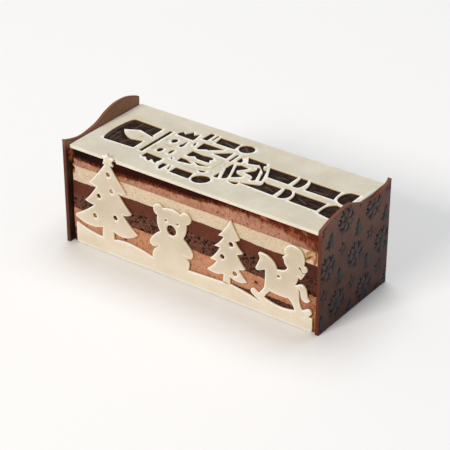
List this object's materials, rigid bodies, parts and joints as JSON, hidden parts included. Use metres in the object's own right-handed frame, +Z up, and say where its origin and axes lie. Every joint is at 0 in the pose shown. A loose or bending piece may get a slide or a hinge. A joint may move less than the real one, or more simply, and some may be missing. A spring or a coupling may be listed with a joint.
{
  "type": "yule log cake",
  "caption": "Straight-sided layered yule log cake with a stencilled white chocolate top, a cut-out figure plaque along the front and wavy-topped milk chocolate end panels.",
  "frame": {"origin": "centre of the cake's footprint, on the surface it stands on", "axes": "+X along the cake, from the tall fir's end to the rocking horse's end; -Y faces the side with the plaque; +Z up"},
  "size_m": [0.2056, 0.0844, 0.0846],
  "materials": {
    "sponge": "matt porous dark sponge",
    "mousse": "matt light brown mousse",
    "ganache": "smooth satin brown ganache",
    "cream": "matt ivory cream with tiny specks",
    "glaze": "glossy near-black brown glaze",
    "white_chocolate": "satin ivory white chocolate",
    "milk_chocolate": "satin brown chocolate"
  },
  "bodies": {
    "root": {"sponge_base": "sponge", "mousse_milk": "mousse", "sponge_middle": "sponge", "ganache": "ganache", "cream_vanilla": "cream", "mousse_top": "mousse", "glaze": "glaze", "plate_top": "white_chocolate", "plaque_front": "white_chocolate", "panel_right": "milk_chocolate", "panel_left": "milk_chocolate"}
  },
  "joints": []
}
